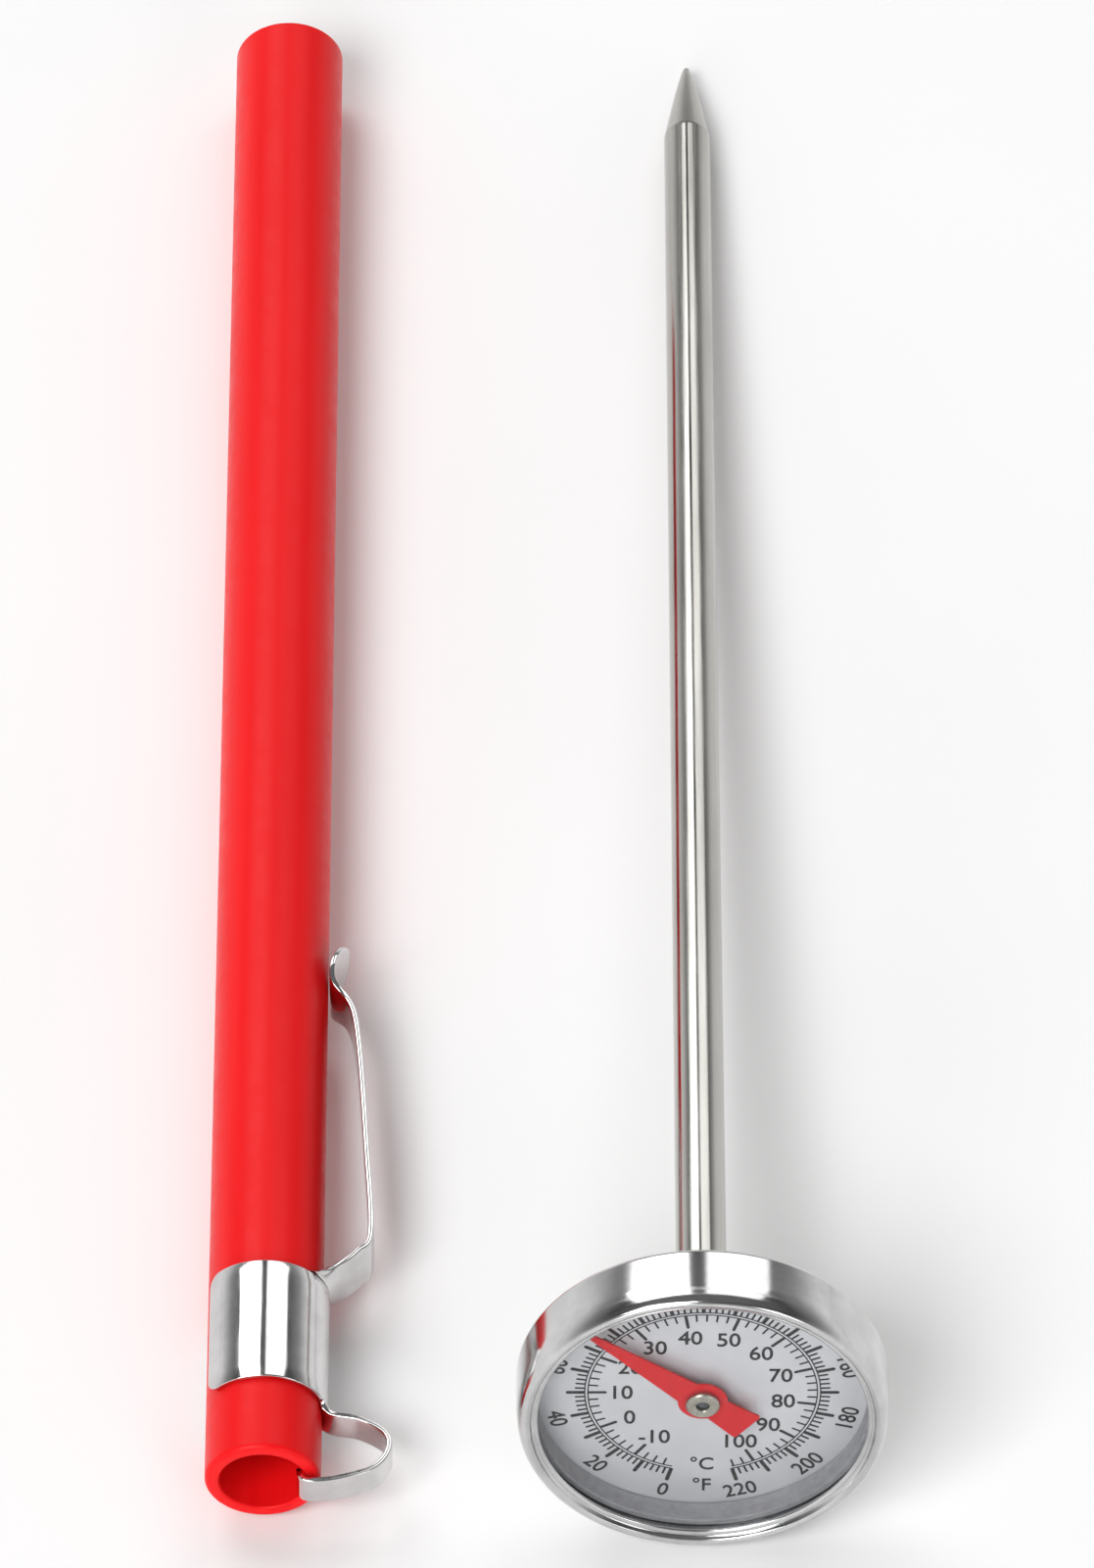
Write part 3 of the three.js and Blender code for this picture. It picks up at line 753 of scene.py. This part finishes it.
def sheath_form():
    outer = SHEATH_RADIUS - SHEATH_EDGE
    lip = SHEATH_BORE_RADIUS + SHEATH_EDGE / 2
    floor_z = SHEATH_END_WALL - SHEATH_LENGTH
    return turned([
        (0, -SHEATH_LENGTH),
        *arc((outer, SHEATH_EDGE - SHEATH_LENGTH), SHEATH_EDGE, -90, 0),
        *arc((outer, -SHEATH_EDGE), SHEATH_EDGE, 0, 90),
        *arc((lip, -SHEATH_EDGE / 2), SHEATH_EDGE / 2, 90, 180),
        (SHEATH_BORE_RADIUS, floor_z + SHEATH_FLOOR_CHAMFER),
        (SHEATH_BORE_RADIUS - SHEATH_FLOOR_CHAMFER, floor_z),
        (0, floor_z),
    ], FIT_40)


# Clip. A strip is lofted from rows, each a section of the sheet.

def sheet_row(centre, across, normal, half_width, half_thick, curve=0.0):
    """One eased section of the sheet, wrapped round by its curve if it has one."""
    ease = min(CLIP_EASE, half_width / 2, half_thick * 0.9)
    flat_half = half_width - ease
    flat = [flat_half - 2 * flat_half * i / SHEET_STEPS for i in range(1, SHEET_STEPS)]
    section = [(a, half_thick) for a in flat]
    section += arc((-flat_half, half_thick - ease), ease, 90, 180, SHEET_EDGE_STEPS)
    section += arc((-flat_half, ease - half_thick), ease, 180, 270, SHEET_EDGE_STEPS)
    section += [(-a, -half_thick) for a in flat]
    section += arc((flat_half, ease - half_thick), ease, 270, 360, SHEET_EDGE_STEPS)
    section += arc((flat_half, half_thick - ease), ease, 0, 90, SHEET_EDGE_STEPS)
    row = []
    for a, n in section:
        if curve > 0:
            angle = a * curve
            reach = 1 / curve + n
            a, n = reach * math.sin(angle), reach * math.cos(angle) - 1 / curve
        row.append(tuple(centre + across * a + normal * n))
    return row


def band_form():
    end = math.radians(BAND_END_DEG)
    radius = BAND_MIDDLE_RADIUS * FIT_40
    middle_z = BAND_MOUTH_Z - BAND_HEIGHT / 2
    corner_turns = [math.pi / 2 * i / CORNER_STEPS for i in range(CORNER_STEPS)]
    full = end - BAND_CORNER / radius
    angles = [-full + 2 * full * i / BAND_STEPS for i in range(BAND_STEPS + 1)]
    ends = [end - BAND_CORNER * (1 - math.cos(turn)) / radius for turn in corner_turns]
    rows = []
    for angle in [*(-a for a in ends), *angles, *reversed(ends)]:
        left = (end - abs(angle)) * radius
        inset = 0.0
        if left < BAND_CORNER:
            inset = BAND_CORNER - math.sqrt(BAND_CORNER ** 2 - (BAND_CORNER - left) ** 2)
        thick = CLIP_SHEET / 2
        if left < CLIP_EASE:
            thick -= CLIP_EASE - math.sqrt(CLIP_EASE ** 2 - (CLIP_EASE - left) ** 2)
        outward = Vector((math.cos(angle), math.sin(angle), 0))
        centre = outward * radius + Vector((0, 0, middle_z))
        rows.append(sheet_row(centre, Vector((0, 0, 1)), outward, BAND_HEIGHT / 2 - inset, thick))
    return loft(rows)


def fillet(distance):
    """How much wider a strip is, a distance from the edge it grows out of."""
    if distance >= ROOT_FILLET:
        return 0.0
    left = ROOT_FILLET - distance
    return ROOT_FILLET - math.sqrt(ROOT_FILLET ** 2 - left ** 2)


def rounded_end(left, radius):
    return math.sqrt(max(radius ** 2 - (radius - left) ** 2, 0.0)) if left < radius else radius


def smooth_share(value):
    value = min(max(value, 0.0), 1.0)
    return value * value * (3 - 2 * value)


def strip_form(path, half_width_at, end_radius, wrap, embedded=0.0):
    """A bent strip: curved like the band at its root, flat further on, with a round end.

    The embedded start is a little thinner, so that it stays between the band's faces.
    """
    length = path_length(path)
    side = math.copysign(1, path[0].y - path[-1].y)
    body = [(length - end_radius) * i / STRIP_STEPS for i in range(STRIP_STEPS)]
    turn = [math.pi / 2 * i / TIP_STEPS for i in range(TIP_STEPS)]
    tip = [length - end_radius * (1 - math.sin(a)) for a in turn]
    tip.append(length - end_radius * 0.0008)
    rows = []
    for distance, (spot, way) in zip([*body, *tip], walk(path, [*body, *tip])):
        left = length - distance
        half = half_width_at(distance, left)
        if left < end_radius:
            half *= rounded_end(left, end_radius) / end_radius
        thick = CLIP_SHEET / 2
        if left < CLIP_EASE:
            thick -= CLIP_EASE - rounded_end(left, CLIP_EASE)
        if distance < embedded:
            thick -= EMBEDDED_INSET
        curve = (1 - smooth_share(distance / wrap)) / (BAND_MIDDLE_RADIUS * FIT_40)
        centre = Vector((spot.x, 0, spot.y))
        normal = Vector((-way.y, 0, way.x)) * side
        rows.append(sheet_row(centre, Vector((0, 1, 0)), normal, half, thick, curve))
    return loft(rows)


def arm_form():
    def half_width(distance, left):
        narrowing = min(distance / (ARM_PATH[0][1] - ARM_NARROW_Z), 1.0)
        plain = (ARM_WIDTHS[0] + (ARM_WIDTHS[1] - ARM_WIDTHS[0]) * narrowing) / 2
        flare = smooth_share(1 - (left - PADDLE_RADIUS) / PADDLE_FLARE)
        return plain + (PADDLE_RADIUS - plain) * flare + fillet(distance)
    return strip_form(spline(ARM_PATH), half_width, PADDLE_RADIUS, ARM_WRAP)


def loop_form():
    def half_width(distance, _):
        from_edge = max(distance - LOOP_FILLET_START, 0.0)
        return LOOP_WIDTH / 2 + fillet(from_edge) * LOOP_FILLET_SHARE
    return strip_form(spline(LOOP_PATH), half_width, LOOP_WIDTH / 2, LOOP_WRAP, LOOP_EMBEDDED)


# Materials

class Look:
    """A Principled material, with short calls for the nodes that vary it."""

    def __init__(self, name, place=None, **values):
        self.material = bpy.data.materials.new(name)
        self.material.use_nodes = True
        self.tree = self.material.node_tree
        self.shader = self.tree.nodes["Principled BSDF"]
        for key, value in values.items():
            self.shader.inputs[key.replace("_", " ")].default_value = value
        frame_in = place.inverted() if place else Matrix.Scale(1 / MM, 4)
        self.coords = self.add(
            "ShaderNodeMapping",
            Vector=self.add("ShaderNodeTexCoord").outputs["Object"],
            Location=frame_in.to_translation(),
            Rotation=frame_in.to_euler(),
            Scale=frame_in.to_scale(),
        ).outputs["Vector"]

    def add(self, kind, settings=None, **inputs):
        node = self.tree.nodes.new(kind)
        for key, value in (settings or {}).items():
            setattr(node, key, value)
        for key, value in inputs.items():
            socket = node.inputs[key.replace("_", " ")]
            if isinstance(value, bpy.types.NodeSocket):
                self.tree.links.new(value, socket)
            else:
                socket.default_value = value
        return node

    def scaled(self, factors):
        """The local coordinates, each multiplied by a factor."""
        made = self.add("ShaderNodeVectorMath", {"operation": "MULTIPLY"})
        self.tree.links.new(self.coords, made.inputs[0])
        made.inputs[1].default_value = factors
        return made.outputs["Vector"]

    def noise(self, scale, stretch=(1, 1, 1), detail=3.0, rough=0.55):
        """Soft mottling. The scale is in cells per millimetre."""
        made = self.add(
            "ShaderNodeTexNoise",
            Vector=self.scaled(stretch), Scale=scale, Detail=detail, Roughness=rough,
        )
        return made.outputs["Fac"]

    def turned_lines(self, per_mm):
        """Fine rings about the local z axis, as a lathe or a polishing wheel leaves."""
        radius = self.add("ShaderNodeVectorMath", {"operation": "LENGTH"})
        self.tree.links.new(self.scaled((1, 1, 0)), radius.inputs[0])
        made = self.add(
            "ShaderNodeTexNoise", {"noise_dimensions": "1D"},
            W=radius.outputs["Value"], Scale=per_mm, Detail=2.0,
        )
        return made.outputs["Fac"]

    def spread(self, factor, low, high, from_low=0.3, from_high=0.7):
        """The factor's middle range mapped onto another range."""
        made = self.add("ShaderNodeMapRange", Value=factor)
        for key, value in (
            ("From Min", from_low), ("From Max", from_high), ("To Min", low), ("To Max", high),
        ):
            made.inputs[key].default_value = value
        return made.outputs["Result"]

    def tint(self, factor, dark, light):
        """The base colour moves between two colours."""
        ramp = self.add("ShaderNodeValToRGB", Fac=factor)
        ramp.color_ramp.elements[0].position = 0.3
        ramp.color_ramp.elements[1].position = 0.7
        ramp.color_ramp.elements[0].color = (*dark, 1)
        ramp.color_ramp.elements[1].color = (*light, 1)
        self.tree.links.new(ramp.outputs["Color"], self.shader.inputs["Base Color"])
        return self

    def gloss(self, factor, low, high):
        """The roughness moves between two values."""
        self.tree.links.new(self.spread(factor, low, high), self.shader.inputs["Roughness"])
        return self

    def relief(self, *heights):
        """Bumps stacked on each other, each a (factor, depth in millimetres)."""
        normal = None
        for factor, depth in heights:
            bump = self.add("ShaderNodeBump", Height=factor, Distance=depth * MM, Strength=1.0)
            if normal:
                self.tree.links.new(normal, bump.inputs["Normal"])
            normal = bump.outputs["Normal"]
        self.tree.links.new(normal, self.shader.inputs["Normal"])
        return self


def case_steel():
    look = Look("case_steel", DIAL, Metallic=1.0)
    smudge = look.noise(0.35, detail=4.0)
    lines = look.turned_lines(9.0)
    look.tint(smudge, (0.46, 0.46, 0.43), (0.56, 0.56, 0.53))
    look.gloss(lines, 0.07, 0.17)
    return look.relief((lines, 0.0003), (look.noise(0.22), 0.004)).material


def bezel_steel():
    look = Look("bezel_steel", DIAL, Metallic=1.0)
    look.tint(look.noise(0.5, detail=4.0), (0.52, 0.52, 0.52), (0.64, 0.64, 0.64))
    look.gloss(look.turned_lines(14.0), 0.07, 0.2)
    return look.relief((look.noise(3.0), 0.0006)).material


def nut_steel():
    look = Look("nut_steel", DIAL, Metallic=1.0)
    mottle = look.noise(1.4, detail=5.0, rough=0.65)
    look.tint(mottle, (0.50, 0.48, 0.42), (0.68, 0.66, 0.59))
    look.gloss(look.noise(2.6), 0.18, 0.28)
    return look.relief((mottle, 0.0012), (look.turned_lines(7.0), 0.0008)).material


def stem_steel():
    look = Look("stem_steel", DIAL, Metallic=1.0)
    drawn = look.noise(5.0, stretch=(1, 1, 0.02), detail=2.0)
    look.tint(look.noise(0.3, stretch=(1, 1, 0.2)), (0.40, 0.39, 0.365), (0.49, 0.48, 0.455))
    look.gloss(drawn, 0.1, 0.22)
    return look.relief((drawn, 0.0012)).material


def clip_chrome():
    look = Look("clip_chrome", SHEATH, Metallic=1.0)
    rolled = look.noise(4.0, stretch=(1, 1, 0.06), detail=2.0)
    look.tint(look.noise(0.6), (0.58, 0.57, 0.57), (0.68, 0.67, 0.67))
    look.gloss(rolled, 0.06, 0.16)
    return look.relief((look.noise(0.4, detail=1.0), 0.002), (rolled, 0.0004)).material


def sheath_red():
    look = Look("sheath_red", SHEATH, Specular_IOR_Level=0.14)
    flow = look.noise(0.5, stretch=(1, 1, 0.05), detail=3.0)
    look.tint(flow, (0.76, 0.005, 0.007), (0.83, 0.009, 0.011))
    look.gloss(look.noise(0.9, detail=4.0), 0.3, 0.42)
    return look.relief((look.noise(6.0, detail=4.0), 0.002), (flow, 0.002)).material


def dial_silver():
    look = Look("dial_silver", DIAL, Metallic=0.35)
    satin = look.noise(14.0, detail=2.0)
    look.tint(look.noise(0.25), (0.56, 0.56, 0.575), (0.62, 0.62, 0.635))
    look.gloss(satin, 0.38, 0.5)
    return look.relief((satin, 0.0015)).material


def dial_ink():
    look = Look("dial_ink", DIAL, IOR=1.45)
    look.tint(look.noise(2.0), (0.003, 0.003, 0.0035), (0.007, 0.007, 0.008))
    look.gloss(look.noise(8.0), 0.4, 0.6)
    return look.material


def pointer_red():
    look = Look("pointer_red", DIAL, Specular_IOR_Level=0.18)
    paint = look.noise(2.5, detail=3.0)
    look.tint(paint, (0.52, 0.004, 0.008), (0.60, 0.007, 0.011))
    look.gloss(look.noise(5.0), 0.3, 0.45)
    return look.relief((paint, 0.0015)).material


def hub_steel():
    look = Look("hub_steel", DIAL, Metallic=1.0)
    lines = look.turned_lines(22.0)
    look.tint(look.noise(3.0), (0.36, 0.34, 0.28), (0.50, 0.48, 0.41))
    look.gloss(lines, 0.18, 0.36)
    return look.relief((lines, 0.003)).material


def shaft_steel():
    look = Look("shaft_steel", DIAL, Metallic=1.0)
    look.tint(look.noise(4.0), (0.08, 0.08, 0.09), (0.16, 0.16, 0.17))
    look.gloss(look.noise(9.0), 0.3, 0.45)
    return look.relief((look.turned_lines(18.0), 0.002)).material


def inner_brass():
    look = Look("inner_brass", DIAL, Metallic=1.0)
    look.tint(look.noise(1.2), (0.54, 0.39, 0.16), (0.68, 0.52, 0.25))
    look.gloss(look.turned_lines(10.0), 0.2, 0.4)
    return look.relief((look.noise(5.0), 0.002)).material


def spring_steel():
    look = Look("spring_steel", DIAL, Metallic=1.0)
    look.tint(look.noise(1.5), (0.42, 0.42, 0.44), (0.56, 0.56, 0.58))
    look.gloss(look.noise(6.0), 0.22, 0.38)
    return look.relief((look.noise(8.0), 0.001)).material


def bimetal():
    look = Look("bimetal", DIAL, Metallic=1.0)
    look.tint(look.noise(0.8), (0.36, 0.30, 0.26), (0.52, 0.47, 0.42))
    look.gloss(look.noise(4.0), 0.3, 0.48)
    return look.relief((look.noise(6.0), 0.001)).material


def gasket_rubber():
    look = Look("gasket_rubber", DIAL, IOR=1.45)
    look.tint(look.noise(1.6), (0.26, 0.26, 0.27), (0.34, 0.34, 0.35))
    look.gloss(look.noise(5.0), 0.5, 0.65)
    return look.relief((look.noise(9.0), 0.003)).material


def lens_clear():
    """Clear plastic: what is behind it shows through, with gloss by the angle of sight."""
    look = Look("lens_clear", DIAL)
    tree = look.tree
    haze = look.noise(0.3, detail=4.0)
    gloss = look.add("ShaderNodeBsdfGlossy", Roughness=look.spread(haze, 0.02, 0.07))
    clear = look.add("ShaderNodeBsdfTransparent", Color=(0.975, 0.98, 0.985, 1))
    facing = look.add("ShaderNodeLayerWeight", Blend=0.5)
    steep = look.add("ShaderNodeMath", {"operation": "POWER"})
    tree.links.new(facing.outputs["Facing"], steep.inputs[0])
    steep.inputs[1].default_value = 5.0
    shine = look.spread(steep.outputs["Value"], 0.022, 1.0, 0.0, 1.0)
    mix = look.add("ShaderNodeMixShader", Fac=shine)
    tree.links.new(clear.outputs["BSDF"], mix.inputs[1])
    tree.links.new(gloss.outputs["BSDF"], mix.inputs[2])
    output = tree.nodes["Material Output"]
    tree.links.new(mix.outputs["Shader"], output.inputs["Surface"])
    tree.nodes.remove(look.shader)
    return look.material


# Stage, light and camera

CAMERA_ELEVATION = math.radians(50)
CAMERA_DISTANCE = 0.85
FRAME_MARGIN = 0.015
FRAME_ASPECT = 1117 / 1601
SENSOR = 36.0
FLOOR_HALF = 1.7
EXPOSURE = 0.27

# How high each grey of the sky is, from the horizon to the zenith.
SKY = ((0.0, 0.76), (0.12, 0.72), (0.35, 0.28), (0.62, 0.06), (0.9, 0.14))


def floor():
    mesh = bpy.data.meshes.new("floor")
    corners = [(x * FLOOR_HALF, y * FLOOR_HALF, 0) for x, y in ((-1, -1), (1, -1), (1, 1), (-1, 1))]
    mesh.from_pydata(corners, [], [(0, 1, 2, 3)])
    look = Look("floor_paper", IOR=1.4)
    look.tint(look.noise(0.02), (0.90, 0.90, 0.90), (0.92, 0.92, 0.92))
    look.gloss(look.noise(0.05), 0.75, 0.85)
    mesh.materials.append(look.material)
    made = bpy.data.objects.new("floor", mesh)
    bpy.context.scene.collection.objects.link(made)
    made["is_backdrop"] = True


def world():
    """Pale round the horizon and greyer overhead, so that polished metal has something to show."""
    made = bpy.data.worlds.new("studio")
    bpy.context.scene.world = made
    made.use_nodes = True
    tree = made.node_tree
    coords = tree.nodes.new("ShaderNodeTexCoord")
    split = tree.nodes.new("ShaderNodeSeparateXYZ")
    ramp = tree.nodes.new("ShaderNodeValToRGB")
    tree.links.new(coords.outputs["Generated"], split.inputs["Vector"])
    tree.links.new(split.outputs["Z"], ramp.inputs["Fac"])
    elements = ramp.color_ramp.elements
    while len(elements) < len(SKY):
        elements.new(0.5)
    for element, (position, grey) in zip(elements, SKY):
        element.position = position
        element.color = (grey, grey, grey, 1)
    tree.links.new(ramp.outputs["Color"], tree.nodes["Background"].inputs["Color"])


def panel(name, place, size, radiance, aim=(0, 0, 0)):
    """A soft rectangular light. Its power comes from how bright its face is to look like."""
    lamp = bpy.data.lights.new(name, "AREA")
    lamp.shape = "RECTANGLE"
    lamp.size, lamp.size_y = size
    lamp.energy = radiance * math.pi * size[0] * size[1]
    made = bpy.data.objects.new(name, lamp)
    bpy.context.scene.collection.objects.link(made)
    made.location = place
    made.rotation_mode = "QUATERNION"
    made.rotation_quaternion = (Vector(aim) - Vector(place)).to_track_quat("-Z", "Y")


def lights():
    # Two panels behind, with a dark gap between them that runs down the middle of the clip's band.
    panel("back_left", (-1.14, 1.68, 2.16), (1.68, 1.8), 2.4, (-1.14, 0, 0))
    panel("back_right", (0.87, 1.68, 2.16), (1.56, 1.8), 1.5, (0.87, 0, 0))
    panel("key", (-1.35, -2.25, 2.85), (2.1, 1.5), 8.0)
    panel("front_left", (-1.0, -3.3, 1.26), (1.5, 1.1), 4.0)
    panel("front_right", (1.86, -2.7, 1.5), (0.9, 1.5), 2.4)


def camera():
    """Looks down along the stem from the dial's side, with the object filling the frame's height."""
    data = bpy.data.cameras.new("camera")
    made = bpy.data.objects.new("camera", data)
    bpy.context.scene.collection.objects.link(made)
    back = Vector((0, -math.cos(CAMERA_ELEVATION), math.sin(CAMERA_ELEVATION)))
    turn = (-back).to_track_quat("-Z", "Y")
    right, up = turn @ Vector((1, 0, 0)), turn @ Vector((0, 1, 0))
    points = [item.matrix_world @ v.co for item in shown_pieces() for v in item.data.vertices]
    aim = (cad_low + cad_high) / 2
    for _ in range(4):
        eye = aim + back * CAMERA_DISTANCE
        across, rise = [], []
        for point in points:
            away = (eye - point).dot(back)
            across.append((point - eye).dot(right) / away)
            rise.append((point - eye).dot(up) / away)
        aim += right * (min(across) + max(across)) / 2 * CAMERA_DISTANCE
        aim += up * (min(rise) + max(rise)) / 2 * CAMERA_DISTANCE
    tall = (max(rise) - min(rise)) / 2
    wide = (max(across) - min(across)) / 2 / FRAME_ASPECT
    made.location = aim + back * CAMERA_DISTANCE
    made.rotation_mode = "QUATERNION"
    made.rotation_quaternion = turn
    data.sensor_width = SENSOR
    data.lens = SENSOR / 2 / (max(tall, wide) * (1 + 2 * FRAME_MARGIN))
    data.clip_start = 0.01
    data.clip_end = 20
    bpy.context.scene.camera = made


def build():
    steel_case, steel_nut, chrome = case_steel(), nut_steel(), clip_chrome()
    silver, brass, spring = dial_silver(), inner_brass(), spring_steel()
    head, stem, movement = "head", "stem", "movement"
    piece("case_shell", case_form(), DIAL, head, steel_case, ["case_back"])
    piece("bezel", bezel_form(), DIAL, head, bezel_steel(), ["bezel_ring"])
    piece("lens_dome", lens_form(), DIAL, head, lens_clear(), ["lens"])
    piece("lens_seal", gasket_form(), DIAL, head, gasket_rubber(), ["lens_gasket"])
    disc = sleeve_form(DIAL_HOLE_RADIUS, DIAL_RADIUS, -DIAL_THICKNESS, 0, FIT_40)
    piece("dial_disc", disc, DIAL, head, silver, ["dial_plate"])
    piece("dial_print", print_form(), DIAL, head, dial_ink())
    piece("nut", nut_form(), DIAL, stem, steel_nut, ["hex_nut"])
    bush = sleeve_form(STEM_RADIUS + GAP, NUT_BORE_RADIUS - GAP, NUT_FACE_Z + BUSHING_SETBACK,
                       NECK_TOP_Z - GAP, FIT_24)
    piece("bushing", bush, DIAL, stem, brass, ["stem_bushing"])
    piece("stem_needle", stem_form(), DIAL, stem, stem_steel(), ["stem_tube"])
    piece("shaft", shaft_form(), DIAL, movement, shaft_steel(), ["pointer_shaft"])
    piece("pointer_blade", pointer_form(), DIAL, movement, pointer_red(), ["pointer"])
    piece("pointer_rivet", hub_form(), DIAL, movement, hub_steel(), ["pointer_hub"])
    piece("sheath", sheath_form(), SHEATH, "sheath", sheath_red(), ["sheath_tube"])
    piece("band", band_form(), SHEATH, "sheath", chrome, ["clip_band"])
    piece("holding_loop", loop_form(), SHEATH, "sheath", chrome, ["clip_loop"])
    piece("pocket_arm", arm_form(), SHEATH, "clip_arm", chrome, ["clip_arm"])
    kept = {
        "dial_spacer": brass,
        "calibration_washer": spring,
        "retaining_ring": spring,
        "shaft_guide_upper": brass,
        "shaft_guide_middle": brass,
        "coil_collar": brass,
        "bimetal_coil": bimetal(),
        "coil_anchor": brass,
    }
    for node, look in kept.items():
        frame["nodes"][node].material_slots[0].material = look


build()
floor()
world()
lights()
camera()
bpy.context.scene.view_settings.view_transform = "Standard"
bpy.context.scene.view_settings.exposure = EXPOSURE
